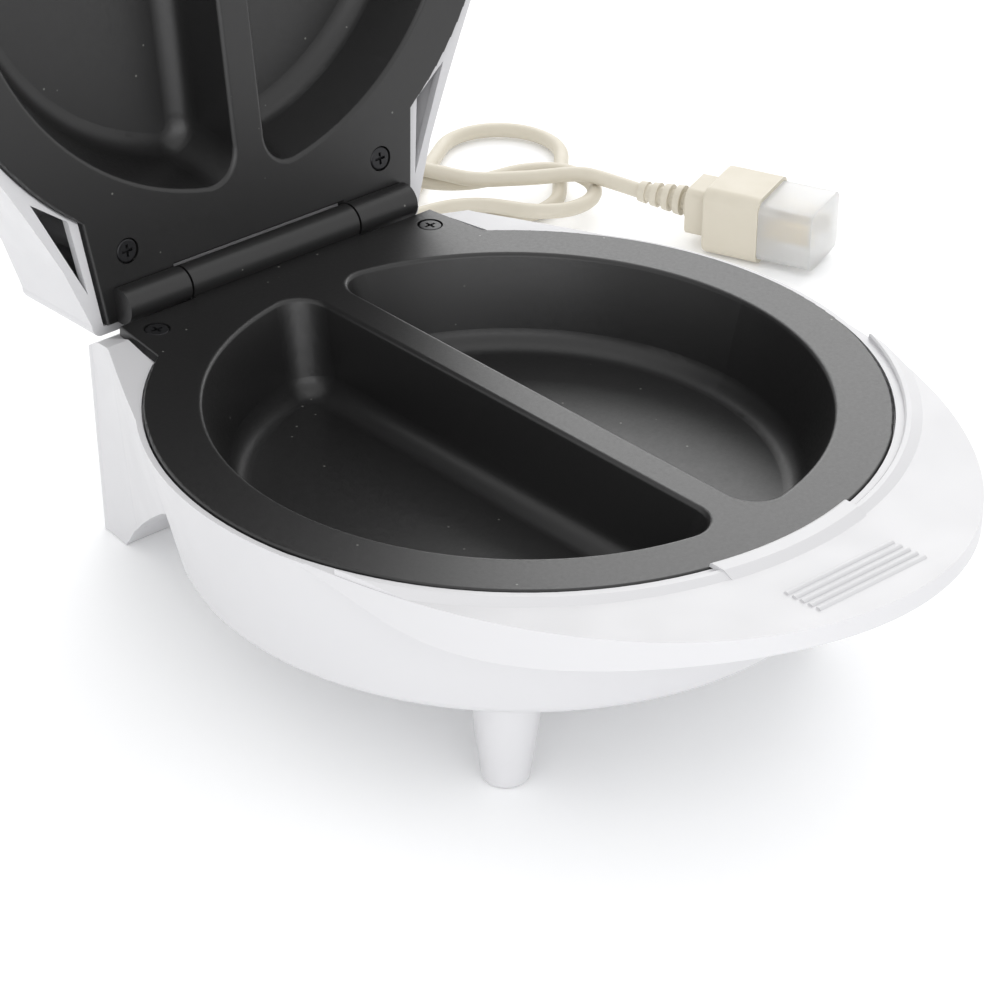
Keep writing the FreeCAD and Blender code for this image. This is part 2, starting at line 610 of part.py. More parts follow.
def thermostat():
    z = -LOWER_DEPTH - CAST - 0.05
    body = round_edges(rod_z(*STAT_XY, 8.0, z - 6.0, z), 0.6, at_height(z))
    tabs = [box(STAT_XY[0] + dx - 1.6, STAT_XY[0] + dx + 1.6, STAT_XY[1] - 12, STAT_XY[1] - 3,
                z - 7.0, z - 5.9) for dx in (-4.2, 4.2)]
    return fused([body] + tabs)


def thermostat_bracket():
    z = -LOWER_DEPTH - CAST - 0.05
    x, y = STAT_XY
    ring = rod_z(x, y, 10.5, z - 3.2, z - 2.4).cut(rod_z(x, y, 8.1, z - 5, z))
    strap = box(x - 4, x + 4, y + 9, y + 18, z - 3.2, z - 2.4)
    foot = box(x - 4, x + 4, y + 17, y + 18, z - 3.2, z)
    return fused([ring, strap, foot])


def thermal_fuse():
    """Fuse, then the glass-fibre sleeve over it, under the left-hand well."""
    z = -LOWER_DEPTH - CAST - 3.2
    along = vec(0, 1, 0)
    body = Part.makeCylinder(2.2, 14, vec(FUSE_X, -12, z), along)
    leads = [Part.makeCylinder(0.5, 3.2, vec(FUSE_X, y, z), along) for y in (-15, 1.8)]
    sleeve = Part.makeCylinder(3.0, 16, vec(FUSE_X, -13, z), along)
    return fused([body] + leads), sleeve.cut(Part.makeCylinder(2.25, 20, vec(FUSE_X, -15, z), along))


def terminal_block():
    floor = BOWL_FLOOR_Z + WALL
    block = box(-22, 10, 95, 105, floor + 0.02, floor + 10)
    for i in range(3):
        x = -16.5 + 10.5 * i
        block = block.cut(rod_z(x, 100, 2.6, floor + 4, floor + 11))
        block = block.cut(Part.makeCylinder(1.9, 12, vec(x, 94, floor + 3.6), vec(0, 1, 0)))
    return block


def terminal_screws():
    floor = BOWL_FLOOR_Z + WALL
    return [rod_z(-16.5 + 10.5 * i, 100, 2.2, floor + 5.6, floor + 8.5)
            .cut(box(-18.4 + 10.5 * i, -14.6 + 10.5 * i, 99.6, 100.4, floor + 7.6, floor + 9))
            for i in range(3)]


def wire(points):
    tube, _ = bent_tube(points, corner_radii(points), 1.1)
    return tube


def lower_wiring():
    z = -LOWER_DEPTH - CAST - ELEMENT_R
    floor = BOWL_FLOOR_Z + WALL
    run_z = floor + 3.6
    under = floor + SHIELD_T + 1.6
    return [wire([(-16, 93.3, z), (-16.3, 94, z + 7), (-24, 98, z + 9), (-28, 104, z + 3)]),
            wire([(16, 93.5, z), (15, 96, z + 5), (14, 100, z + 8), (16, 105, z + 6)]),
            wire([(FUSE_X, 5.2, z), (FUSE_X - 0.3, 14, z - 1.7), (FUSE_X - 0.8, 23, under + 0.2),
                  (FUSE_X - 2, 42, under), (FUSE_X, 62, under + 0.6), (-20, 80, run_z - 0.3),
                  (-16.5, 94, run_z)]),
            wire([(FUSE_X, -15.2, z), (FUSE_X + 2, -19.5, z), (-16, -20, z), (-6, -13, z - 0.5),
                  (8, -11, z - 1.5), (18, -12, z - 3.2), (STAT_XY[0] - 4.2, -9.0, z - 3.2)])]


def upper_wiring():
    z = LAMP_Z
    return [wire([(side * LENS_X, LENS_Y + 10.6, z), (side * 12, -30, z), (side * 20, 10, z),
                  (side * 26, 50, z), (side * 25, 74, z - 1.2), (side * 24, 86, z - 2.7)])
            for side in (-1, 1)]


# ---- mains lead --------------------------------------------------------------------------------
def gland():
    """The flexible relief in the rear wall; its flange sits inside the wall."""
    x, z = GLAND_X, GLAND_Z
    back = (0, 1, 0)
    flange = Part.makeCylinder(6.5, 2.0, vec(x, REAR_Y - WALL - 2.02, z), vec(*back))
    neck = Part.makeCylinder(GLAND_NECK_R, WALL + 0.2, vec(x, REAR_Y - WALL - 0.1, z), vec(*back))
    boot = Part.makeCone(5.4, 3.5, GLAND_LENGTH, vec(x, REAR_Y + 0.02, z), vec(*back))
    body = fused([flange, neck, boot])
    for i in range(5):
        y = REAR_Y + 4 + 4.6 * i
        outer = Part.makeCylinder(8, 1.6, vec(x, y, z), vec(*back))
        inner = Part.makeCylinder(3.1, 2.6, vec(x, y - 0.5, z), vec(*back))
        body = body.cut(outer.cut(inner))
    bore = Part.makeCylinder(CORD_D / 2, 60, vec(x, REAR_Y - 20, z), vec(*back))
    return body.cut(bore)


def cord_inside():
    """The sheath's short stretch from the relief's mouth to the inner clamp."""
    return Part.makeCylinder(CORD_D / 2, GLAND_LENGTH + REAR_Y - 92.0, vec(GLAND_X, 92, GLAND_Z),
                             vec(0, 1, 0))


def cord_clamp():
    floor = BOWL_FLOOR_Z + WALL
    x0, x1 = GLAND_X - 11, GLAND_X + 11
    saddle = box(x0, x1, 97, 103, GLAND_Z - 1.0, GLAND_Z + 4.6)
    saddle = saddle.cut(Part.makeCylinder(CORD_D / 2 + 0.02, 20, vec(GLAND_X, 90, GLAND_Z), vec(0, 1, 0)))
    base = box(x0, x1, 97, 103, floor + 0.02, GLAND_Z - 1.2)
    base = base.cut(Part.makeCylinder(CORD_D / 2 + 0.02, 20, vec(GLAND_X, 90, GLAND_Z), vec(0, 1, 0)))
    for x in (GLAND_X - 7.5, GLAND_X + 7.5):
        saddle = saddle.cut(rod_z(x, 100, 1.7, -60, 0))
        base = base.cut(rod_z(x, 100, SCREW_R - 0.3, floor + 1, 0))
    return [base, saddle]


def cord_clamp_screws():
    screws = []
    for x in (GLAND_X - 7.5, GLAND_X + 7.5):
        screw = pan_screw(0, 0, 0, 8.5, shank_r=SCREW_R - 0.3)
        screw.rotate(vec(0, 0, 0), vec(1, 0, 0), 180)
        screw.translate(vec(x, 100, GLAND_Z + 4.62))
        screws.append(screw)
    return screws


def hank_point(along, across, z):
    """A point beside the hank: along its length towards the plug, across it away from the base."""
    angle = math.radians(HANK_TURN)
    ux, uy = math.cos(angle), math.sin(angle)
    return (HANK_X + along * ux - across * uy, HANK_Y + along * uy + across * ux, z)


def hank():
    """Outer shape of the folded bundle."""
    half = HANK_LENGTH / 2 - HANK_WIDTH / 2
    r = HANK_WIDTH / 2
    slab = box(-half, half, -r, r, HANK_Z0, HANK_Z1)
    ends = [rod_z(x, 0, r, HANK_Z0, HANK_Z1) for x in (-half, half)]
    bundle = fused([slab] + ends)
    bundle = round_edges(bundle, 2.0, lambda e: at_height(HANK_Z0)(e) or at_height(HANK_Z1)(e))
    groove = 0.9
    x0, x1 = TIE_ALONG - TIE_WIDTH / 2 - 0.1, TIE_ALONG + TIE_WIDTH / 2 + 0.1
    band = box(x0, x1, -r - 1, r + 1, -1, HANK_Z1 + 1)
    bundle = bundle.cut(band.cut(box(x0, x1, -r + groove, r - groove, HANK_Z0 + groove, HANK_Z1 - groove)))
    bundle.rotate(vec(0, 0, 0), vec(0, 0, 1), HANK_TURN)
    bundle.translate(vec(HANK_X, HANK_Y, 0))
    return bundle


def cord_tie():
    """The band that holds the hank."""
    r = HANK_WIDTH / 2
    thick = 0.88
    x0, x1 = TIE_ALONG - TIE_WIDTH / 2, TIE_ALONG + TIE_WIDTH / 2
    band = box(x0, x1, -r, r, HANK_Z0, HANK_Z1)
    band = band.cut(box(x0 - 1, x1 + 1, -r + thick, r - thick, HANK_Z0 + thick, HANK_Z1 - thick))
    band.rotate(vec(0, 0, 0), vec(0, 0, 1), HANK_TURN)
    band.translate(vec(HANK_X, HANK_Y, 0))
    return band


def cord_tube(name, points):
    radii = corner_radii(points)
    tube, length = bent_tube(points, radii, CORD_D / 2)
    expected = math.pi * (CORD_D / 2) ** 2 * length
    runs = [round((vec(*points[i + 1]) - vec(*points[i])).Length, 1) for i in range(len(points) - 1)]
    print(name, "length", round(length, 1), "volume/expected", round(tube.Volume / expected, 4))
    print("   radii", [round(r, 1) for r in radii], "runs", runs)
    return tube


def plug_frame(shape):
    """From the plug's own frame (+X along it, from the relief's tip) to where it lies."""
    moved = shape.copy()
    moved.rotate(vec(0, 0, 0), vec(0, 0, 1), PLUG_TURN)
    moved.translate(vec(*PLUG_START))
    return moved


def rounded_block(x0, x1, half_y, half_z, r):
    body = box(x0, x1, -half_y, half_y, -half_z, half_z)
    return round_edges(body, r, lambda e: abs(e.Vertexes[0].X - e.Vertexes[-1].X) > 0.5 * (x1 - x0))


def plug_body():
    along = vec(1, 0, 0)
    relief = Part.makeCone(3.4, 5.6, RELIEF_END + 1, vec(0, 0, 0), along)
    for i in range(4):
        x = 2.6 + 4.3 * i
        core = Part.makeCylinder(3.0, 3.0, vec(x - 0.5, 0, 0), along)
        relief = relief.cut(Part.makeCylinder(9, 2.0, vec(x, 0, 0), along).cut(core))
    neck = rounded_block(RELIEF_END - 0.5, NECK_END + 1, 8.5, 8.0, 3.0)
    head = rounded_block(NECK_END - 1, HEAD_END, 12.5, 11.5, 4.0)
    head = round_edges(head, 1.2, lambda e: all(abs(v.X - NECK_END + 1) < 0.01 for v in e.Vertexes))
    return fused([relief, neck, head])


def plug_pins():
    """Two flat blades."""
    pins = []
    for side in (-1, 1):
        y = side * 12.7 / 2
        blade = box(HEAD_END + 0.02, HEAD_END + 17.0, y - 0.75, y + 0.75, -3.15, 3.15)
        pins.append(round_edges(blade, 0.4, lambda e: all(v.X > HEAD_END + 16 for v in e.Vertexes)))
    return pins


def plug_cap():
    outer = rounded_block(HEAD_END + 0.04, CAP_END, 12.0, 10.0, 3.0)
    return outer.cut(rounded_block(HEAD_END - 1, CAP_END - 1.2, 10.8, 8.8, 2.0))


def main():
    os.makedirs("parts", exist_ok=True)
    fuse, sleeve = thermal_fuse()
    base_nodes = {
        "lower_housing": lower_housing(),
        "lower_plate": fused([lower_plate()] + rib_posts(LOWER_DEPTH)),
        "lower_plate_screws": group(plate_screws(SCREW_X, SCREW_Y)),
        "hinge_pin": hinge_pin(),
        "lower_heating_element": element(LOWER_DEPTH),
        "lower_element_terminals": group(element_pins(LOWER_DEPTH)),
        "lower_element_clamp": group(element_clamp(LOWER_DEPTH)),
        "lower_clamp_screws": group(clamp_screws(LOWER_DEPTH)),
        "lower_heat_shield": lower_shield(),
        "lower_shield_screws": group(lower_shield_screws()),
        "thermostat": thermostat(),
        "thermostat_bracket": thermostat_bracket(),
        "thermal_fuse": fuse,
        "thermal_fuse_sleeve": sleeve,
        "terminal_block": terminal_block(),
        "terminal_screws": group(terminal_screws()),
        "lower_wiring": group(lower_wiring()),
        "cord_gland": gland(),
        "cord_clamp": group(cord_clamp()),
        "cord_clamp_screws": group(cord_clamp_screws()),
        "cord_inner_end": cord_inside(),
    }
    for name, shape in base_nodes.items():
        write(name, place_base(shape))

    posts = [face_down(p) for p in rib_posts(UPPER_DEPTH)]
    lid_nodes = {
        "upper_housing": upper_housing(),
        "upper_plate": fused([upper_plate()] + posts),
        "upper_plate_screws": group([face_down(s) for s in plate_screws(UPPER_SCREW_X, UPPER_SCREW_Y)]),
        "upper_heating_element": face_down(element(UPPER_DEPTH)),
        "upper_element_terminals": face_down(group(element_pins(UPPER_DEPTH))),
        "upper_element_clamp": face_down(group(element_clamp(UPPER_DEPTH))),
        "upper_clamp_screws": face_down(group(clamp_screws(UPPER_DEPTH))),
        "upper_heat_shield": upper_shield(),
        "upper_shield_screws": group(upper_shield_screws()),
        "power_lamp_lens": lamp_lens(-LENS_X),
        "ready_lamp_lens": lamp_lens(LENS_X),
        "power_neon_lamp": neon_lamp(-LENS_X),
        "ready_neon_lamp": neon_lamp(LENS_X),
        "lamp_holder": lamp_holder(),
        "upper_wiring": group(upper_wiring()),
    }
    for name, shape in lid_nodes.items():
        write(name, place_lid(shape))

    cord_nodes = {
        "power_cord_lead": cord_tube("power_cord_lead", LEAD_POINTS + [hank_point(-HANK_LENGTH / 2, 0, 4.0)]),
        "power_cord_hank": hank(),
        "power_cord_loop": cord_tube("power_cord_loop", [hank_point(a, c, CORD_REST) for a, c in LOOP_ROUTE]),
        "power_cord_tail": cord_tube("power_cord_tail", [hank_point(*TAIL_FROM), PLUG_START]),
        "cord_tie": cord_tie(),
        "plug_body": plug_frame(plug_body()),
        "plug_pins": plug_frame(group(plug_pins())),
        "plug_pin_cap": plug_frame(plug_cap()),
    }
    for name, shape in cord_nodes.items():
        write(name, place_cord(shape))

    own = [s for n, s in written.items() if n not in cord_nodes]
    extent = group(own).optimalBoundingBox(False)
    print("object box x %.2f..%.2f y %.2f..%.2f z %.2f..%.2f" % (
        extent.XMin, extent.XMax, extent.YMin, extent.YMax, extent.ZMin, extent.ZMax))
    print(len(written), "nodes")


main()
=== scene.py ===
"""Looks for the two-well omelette maker: camera, light, materials, the mains lead and its plug.
Lengths are in metres in the stored frame unless a name ends in _mm."""
import math

import bmesh
import bpy
from mathutils import Matrix, Vector


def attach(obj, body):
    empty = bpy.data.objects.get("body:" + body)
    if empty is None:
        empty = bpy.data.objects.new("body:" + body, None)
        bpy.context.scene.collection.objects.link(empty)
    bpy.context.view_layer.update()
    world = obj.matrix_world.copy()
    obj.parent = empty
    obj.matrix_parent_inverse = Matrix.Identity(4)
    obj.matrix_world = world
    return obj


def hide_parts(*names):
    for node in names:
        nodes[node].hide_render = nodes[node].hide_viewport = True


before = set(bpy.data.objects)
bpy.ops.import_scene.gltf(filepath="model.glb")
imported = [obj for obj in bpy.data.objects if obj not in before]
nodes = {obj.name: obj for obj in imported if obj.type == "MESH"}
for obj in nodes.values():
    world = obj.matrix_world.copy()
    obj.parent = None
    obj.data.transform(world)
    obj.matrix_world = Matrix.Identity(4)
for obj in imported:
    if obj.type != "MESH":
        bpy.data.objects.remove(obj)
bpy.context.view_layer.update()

MM = 0.001
PLATE_Y = -17.97 * MM          # the plates' centre, which the view and the lead are placed from
PLATE_Z = 70 * MM
CORD_D = 5.0 * MM


# ---- camera -----------------------------------------------------------------------------------
AZIMUTH, ELEVATION, ROLL = (math.radians(a) for a in (-42.41, 30.16, 0.82))
DISTANCE = 1.06873
AIM = (-0.0029, 0.00363, -0.03293)   # from the middle of the lower plate's top
LENS_MM = 141.72
SENSOR_MM = 36


def make_camera():
    """A long lens from the left front, looking down on the open plates."""
    azimuth, elevation, roll = AZIMUTH, ELEVATION, ROLL
    target = Vector((AIM[0], AIM[1] + PLATE_Y, PLATE_Z + AIM[2]))
    back = Vector((math.sin(azimuth) * math.cos(elevation),
                   -math.cos(azimuth) * math.cos(elevation), math.sin(elevation)))
    level = Vector((math.cos(azimuth), math.sin(azimuth), 0))
    upright = back.cross(level)
    right = level * math.cos(roll) + upright * math.sin(roll)
    up = upright * math.cos(roll) - level * math.sin(roll)
    data = bpy.data.cameras.new("camera")
    data.lens = LENS_MM
    data.sensor_width = SENSOR_MM
    data.clip_end = 20
    camera = bpy.data.objects.new("camera", data)
    bpy.context.scene.collection.objects.link(camera)
    matrix = Matrix((right, up, back)).transposed().to_4x4()
    matrix.translation = target + back * DISTANCE
    camera.matrix_world = matrix
    bpy.context.scene.camera = camera


# ---- materials ---------------------------------------------------------------------------------
MIX_A, MIX_B, MIX_RESULT = 6, 7, 2   # the colour sockets of a Mix node


class Shader:
    """A Principled material with a few helpers for procedural detail."""

    def __init__(self, name, colour, roughness, **settings):
        self.material = bpy.data.materials.new(name)
        self.material.use_nodes = True
        self.tree = self.material.node_tree
        self.body = self.tree.nodes["Principled BSDF"]
        self.body.inputs["Base Color"].default_value = (*colour, 1)
        self.body.inputs["Roughness"].default_value = roughness
        for key, value in settings.items():
            self.body.inputs[key.replace("_", " ")].default_value = value
        self.height = None

    def add(self, kind, **values):
        node = self.tree.nodes.new(kind)
        for key, value in values.items():
            if key in node.inputs:
                node.inputs[key].default_value = value
            else:
                setattr(node, key, value)
        return node

    def link(self, source, target):
        self.tree.links.new(source, target)

    def coordinates(self):
        return self.add("ShaderNodeTexCoord").outputs["Object"]

    def noise(self, scale, detail=2.0, roughness=0.5):
        node = self.add("ShaderNodeTexNoise", Scale=scale, Detail=detail, Roughness=roughness)
        self.link(self.coordinates(), node.inputs["Vector"])
        return node.outputs["Fac"]

    def specks(self, scale, rarity):
        """Small spots of 1 on 0, one in each cell whose random number is over rarity."""
        cells = self.add("ShaderNodeTexVoronoi", Scale=scale)
        self.link(self.coordinates(), cells.inputs["Vector"])
        spot = self.spread(cells.outputs["Distance"], 0.05, 0.09, 1.0, 0.0)
        number = self.add("ShaderNodeSeparateColor")
        self.link(cells.outputs["Color"], number.inputs["Color"])
        chosen = self.spread(number.outputs["Red"], rarity, rarity + 0.01, 0.0, 1.0)
        both = self.add("ShaderNodeMath", operation="MULTIPLY")
        self.link(spot, both.inputs[0])
        self.link(chosen, both.inputs[1])
        return both.outputs["Value"]

    def spread(self, value, low, high, to_low, to_high):
        node = self.add("ShaderNodeMapRange")
        ends = {"From Min": low, "From Max": high, "To Min": to_low, "To Max": to_high}
        for key, number in ends.items():
            node.inputs[key].default_value = number
        self.link(value, node.inputs["Value"])
        return node.outputs["Result"]

    def bump(self, value, distance, strength=1.0):
        """Adds one layer of relief, distance in metres."""
        node = self.add("ShaderNodeBump", Strength=strength, Distance=distance)
        self.link(value, node.inputs["Height"])
        if self.height is not None:
            self.link(self.height, node.inputs["Normal"])
        self.height = node.outputs["Normal"]
        self.link(self.height, self.body.inputs["Normal"])

    def vary_colour(self, value, dark, light):
        node = self.add("ShaderNodeMix", data_type="RGBA")
        node.inputs[MIX_A].default_value = (*dark, 1)
        node.inputs[MIX_B].default_value = (*light, 1)
        self.link(value, node.inputs[0])
        self.link(node.outputs[MIX_RESULT], self.body.inputs["Base Color"])

    def vary_roughness(self, value, low, high):
        self.link(self.spread(value, 0.3, 0.7, low, high), self.body.inputs["Roughness"])


def white_plastic():
    s = Shader("white_plastic", (0.637, 0.634, 0.647), 0.34, Specular_IOR_Level=0.45)
    s.vary_colour(s.noise(18, 3), (0.625, 0.623, 0.638), (0.648, 0.645, 0.656))
    s.vary_roughness(s.noise(60, 4), 0.28, 0.42)
    s.bump(s.noise(2600, 2), 0.000012, 0.5)
    return s.material


def nonstick():
    """Sprayed coat on cast metal: near black, satin, with a fine orange peel and light rubs."""
    s = Shader("nonstick_coat", (0.011, 0.011, 0.012), 0.36, Specular_IOR_Level=0.62)
    s.vary_colour(s.specks(230, 0.82), (0.0105, 0.0103, 0.0105), (0.16, 0.16, 0.15))
    s.vary_roughness(s.noise(900, 4, 0.6), 0.32, 0.42)
    s.bump(s.noise(420, 3, 0.55), 0.00005, 0.35)
    s.bump(s.noise(3600, 3, 0.7), 0.000028, 0.6)
    return s.material


def cord_sheath():
    s = Shader("cord_sheath", (0.63, 0.59, 0.49), 0.46, Specular_IOR_Level=0.4)
    s.vary_colour(s.noise(90, 3), (0.60, 0.555, 0.455), (0.665, 0.62, 0.525))
    s.vary_roughness(s.noise(200, 3), 0.40, 0.52)
    s.bump(s.noise(1500, 2), 0.00002, 0.5)
    return s.material


def plain(name, colour, roughness, grain=1200, depth=0.00001, **settings):
    """One colour, a little uneven, with a grain that many in a metre and that deep in metres."""
    s = Shader(name, colour, roughness, **settings)
    light = tuple(min(1, c * 1.12 + 0.006) for c in colour)
    s.vary_colour(s.noise(grain / 8, 3), colour, light)
    s.vary_roughness(s.noise(grain / 4, 3), roughness * 0.85, min(1, roughness * 1.15))
    s.bump(s.noise(grain, 2), depth, 0.5)
    return s.material


def paint(material, *names):
    """Puts the material in every slot of the named nodes."""
    for name in names:
        slots = nodes[name].data.materials
        if len(slots) == 0:
            slots.append(material)
        for i in range(len(slots)):
            slots[i] = material


def paint_nodes():
    """Paints every node that stays in the picture, and returns the lead's material."""
    paint(white_plastic(), "lower_housing", "upper_housing", "lamp_holder")
    paint(nonstick(), "lower_plate", "upper_plate")
    paint(plain("screw_black", (0.025, 0.025, 0.027), 0.34, Metallic=0.6),
          "lower_plate_screws", "upper_plate_screws")
    paint(plain("screw_steel", (0.55, 0.55, 0.56), 0.3, Metallic=1.0),
          "hinge_pin", "lower_clamp_screws", "upper_clamp_screws", "lower_shield_screws",
          "upper_shield_screws", "cord_clamp_screws", "thermostat_bracket",
          "lower_element_clamp", "upper_element_clamp")
    paint(plain("element_sheath", (0.20, 0.185, 0.17), 0.42, Metallic=1.0),
          "lower_heating_element", "upper_heating_element")
    paint(plain("shield_sheet", (0.66, 0.67, 0.68), 0.27, 500, 0.00002, Metallic=1.0),
          "lower_heat_shield", "upper_heat_shield")
    paint(plain("brass", (0.62, 0.47, 0.20), 0.28, Metallic=1.0),
          "terminal_screws", "plug_pins", "lower_element_terminals", "upper_element_terminals")
    paint(plain("steatite", (0.71, 0.68, 0.60), 0.55), "thermostat", "terminal_block")
    paint(plain("fuse_case", (0.60, 0.58, 0.52), 0.35, Metallic=0.8), "thermal_fuse")
    paint(plain("glass_sleeve", (0.66, 0.61, 0.44), 0.7, 1800, 0.00004), "thermal_fuse_sleeve")
    paint(plain("wire_silicone", (0.62, 0.60, 0.56), 0.5), "lower_wiring", "upper_wiring")
    paint(plain("lens_red", (0.52, 0.02, 0.012), 0.14, Transmission_Weight=0.5), "power_lamp_lens")
    paint(plain("lens_green", (0.02, 0.34, 0.06), 0.14, Transmission_Weight=0.5), "ready_lamp_lens")
    paint(plain("neon_glass", (0.80, 0.52, 0.38), 0.1, Transmission_Weight=0.7),
          "power_neon_lamp", "ready_neon_lamp")
    paint(plain("clamp_plastic", (0.10, 0.10, 0.105), 0.45), "cord_clamp")
    paint(plain("clear_cap", (0.92, 0.92, 0.91), 0.38, 300, 0.00004,
                Transmission_Weight=0.7, IOR=1.3), "plug_pin_cap")
    sheath = cord_sheath()
    paint(sheath, "cord_inner_end", "cord_gland", "plug_body")
    return sheath


# ---- light and floor -----------------------------------------------------------------------------
SKY_STRENGTH = 0.94
FLOOR_GLOW = 0.08              # lifts the floor to near white under the object's own shade
FLOOR_SIZE = 6
FLOOR_DROP = 0.0002            # keeps the floor clear of the feet


def make_studio():
    """A white sky, a pale floor and three soft lights that the camera doesn't see."""
    world = bpy.data.worlds.new("studio")
    bpy.context.scene.world = world
    world.use_nodes = True
    world.node_tree.nodes["Background"].inputs["Color"].default_value = (1, 1, 1, 1)
    world.node_tree.nodes["Background"].inputs["Strength"].default_value = SKY_STRENGTH

    bm = bmesh.new()
    bmesh.ops.create_grid(bm, x_segments=4, y_segments=4, size=FLOOR_SIZE)
    mesh = bpy.data.meshes.new("floor")
    bm.to_mesh(mesh)
    floor = bpy.data.objects.new("floor", mesh)
    floor.location.z = -FLOOR_DROP
    bpy.context.scene.collection.objects.link(floor)
    s = Shader("floor", (0.97, 0.975, 0.98), 0.6, Specular_IOR_Level=0.2,
               Emission_Color=(1, 1, 1, 1), Emission_Strength=FLOOR_GLOW)
    mesh.materials.append(s.material)

    def area(name, place, aim, size, power, colour=(1, 1, 1)):
        light = bpy.data.lights.new(name, "AREA")
        light.shape = "RECTANGLE"
        light.size, light.size_y = size
        light.energy = power
        light.color = colour
        lamp = bpy.data.objects.new(name, light)
        bpy.context.scene.collection.objects.link(lamp)
        lamp.visible_camera = False
        lamp.location = place
        lamp.rotation_euler = (Vector(place) - Vector(aim)).to_track_quat("Z", "Y").to_euler()

    centre = (0, 0, 0.06)
    area("overhead", (0.35, 0.25, 1.6), centre, (1.5, 1.5), 2.0)
    area("front_fill", (-0.60, -0.85, 0.32), centre, (1.3, 0.8), 4.6, (0.98, 0.985, 1.0))
    area("rear_softbox", (0.84, 0.66, 0.58), (0.07, 0.0, 0.07), (1.0, 0.66), 4.6)


# ---- mains lead ------------------------------------------------------------------------------------
# In mm. Corners of the hank are given along it, across it and up.
HANK_AT = (150.0, 201.5)           # from the plates' centre, as are the next two places
GLAND_AT = (30.0, 142.4, 38.5)
PLUG_START = (197.0, 156.0, 11.7)
HANK_TURN = math.radians(-34)
LOW, HIGH, TOP = 2.8, 8.2, 13.6    # heights of the three layers of strands
FOLD_R = 15.9                      # bend at the hank's ends
FOLD_AT = 53.7                     # how far the left folds reach
SHORT_FOLD_AT = 50.8               # and the right one
WAIST = 8.5                        # how far out the strands are where they draw together
CORNER_ARC = 6.3                   # length of bend that each corner of the control polygon turns
SIDE_R = 25                        # bends along the hank's sides
LOOP_R = 20.8                      # bend round the loose loop


def beside_hank(along, across, height):
    """A place in the hank's own directions, turned and moved to where the hank lies."""
    c, s = math.cos(HANK_TURN), math.sin(HANK_TURN)
    return (HANK_AT[0] + along * c - across * s, HANK_AT[1] + along * s + across * c, height)


def bend_corners(before, here, after):
    """One bend as the corners of a polygon round it, then the points that lead in and out of it."""
    x, y, z, radius = here
    a = math.atan2(y - before[1], x - before[0])
    b = math.atan2(after[1] - y, after[0] - x)
    sweep = math.remainder(b - a, math.tau)
    count = max(1, math.ceil(abs(sweep) * radius / CORNER_ARC))
    side = math.copysign(1, sweep)
    reach = radius * math.tan(abs(sweep) / 2)
    half = radius * math.tan(abs(sweep) / count / 2)
    corner_r = radius / math.cos(sweep / count / 2)
    cx = x - reach * math.cos(a) - side * radius * math.sin(a)
    cy = y - reach * math.sin(a) + side * radius * math.cos(a)
    slope_in = (z - before[2]) / math.hypot(x - before[0], y - before[1])
    slope_out = (after[2] - z) / math.hypot(after[0] - x, after[1] - y)
    corners = []
    for k in range(count):
        t = a + sweep / count * (k + 0.5)
        run = (2 * (k + 0.5) / count - 1) * reach
        corners.append((cx + side * corner_r * math.sin(t), cy - side * corner_r * math.cos(t),
                        z + run * (slope_in if run < 0 else slope_out)))
    far = reach + half
    enter = (x - far * math.cos(a), y - far * math.sin(a), z - far * slope_in)
    leave = (x + far * math.cos(b), y + far * math.sin(b), z + far * slope_out)
    return corners, enter, leave, half


def rounded(route):
    """Control points of a route of corners: along, across, height and bend radius, 0 for none."""
    points = [route[0][:3]]
    leave, half = None, 0
    for before, here, after in zip(route, route[1:], route[2:]):
        if here[3] == 0:
            if leave and math.dist(leave[:2], here[:2]) > half:
                points.append(leave)
            points.append(here[:3])
            leave, half = None, 0
            continue
        corners, enter, next_leave, next_half = bend_corners(before, here, after)
        gap = math.dist(points[-1][:2], corners[0][:2]) - half - next_half
        if gap > 1.05 * (half + next_half):
            points += [p for p in (leave, enter) if p]
        elif gap > 0.6 * (half + next_half):
            points.append(tuple((u + v) / 2 for u, v in zip(points[-1], corners[0])))
        points += corners
        leave, half = next_leave, next_half
    if leave:
        points.append(leave)
    return points


def near_side(height):
    """A strand from right to left on the near side, drawn in at its middle."""
    return [(13, -WAIST, height, SIDE_R), (2, -WAIST, height, SIDE_R), (-15, -FOLD_R, height, SIDE_R),
            (-24, -FOLD_R, height, 0), (-31, -FOLD_R, height + 0.6, 0)]


def left_fold(height_in, height_out):
    """Half a turn at the left end, rising early to clear the strand that comes in under it."""
    return [(-FOLD_AT, -FOLD_R, height_in, FOLD_R), (-FOLD_AT, FOLD_R, height_out, FOLD_R),
            (-34, FOLD_R, height_out, 0)]


